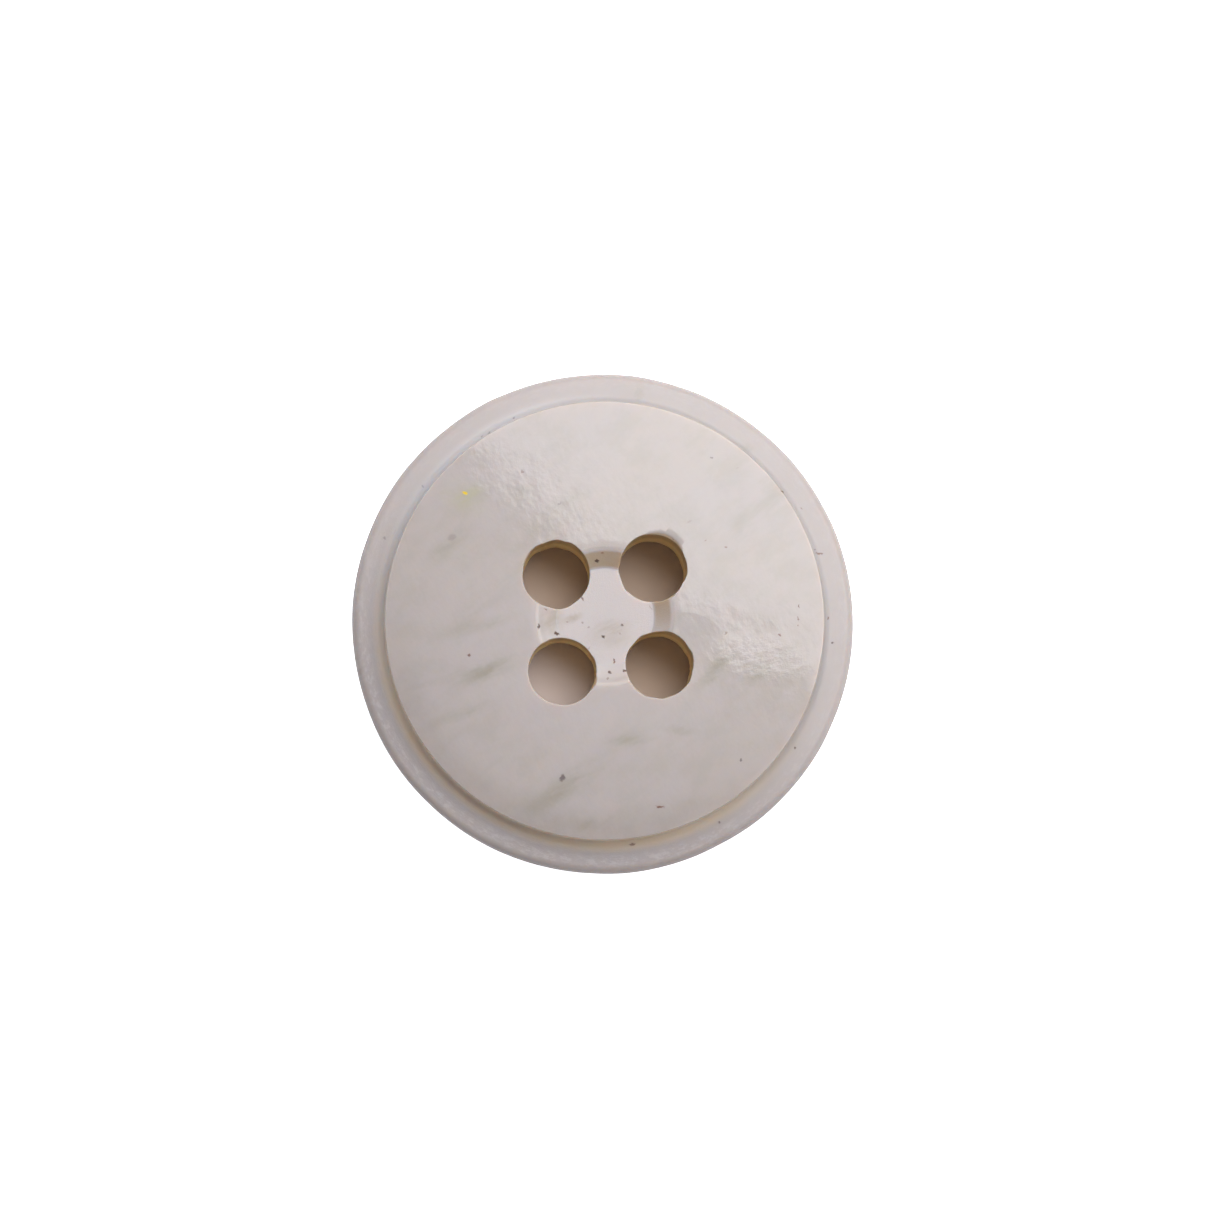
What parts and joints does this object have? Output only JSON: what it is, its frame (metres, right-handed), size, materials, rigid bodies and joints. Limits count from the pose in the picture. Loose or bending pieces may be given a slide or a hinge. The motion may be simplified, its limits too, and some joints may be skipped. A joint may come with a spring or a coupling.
{
  "type": "sew on button",
  "caption": "Round bone button for sewing on, with thread holes in a round well, a polished domed face and a stepped matt rim.",
  "frame": {"origin": "centre of the flat back face, on the turning axis", "axes": "+Z out of the front face, along the turning axis; the sides of the square of thread holes run along X and Y; +Y is up when the button is looked at from the front"},
  "size_m": [0.018, 0.018, 0.0031],
  "materials": {
    "polished_bone": "natural ox bone, polished on the domed face and satin on the rim and back"
  },
  "bodies": {
    "root": {"button_body": "polished_bone"}
  },
  "joints": []
}
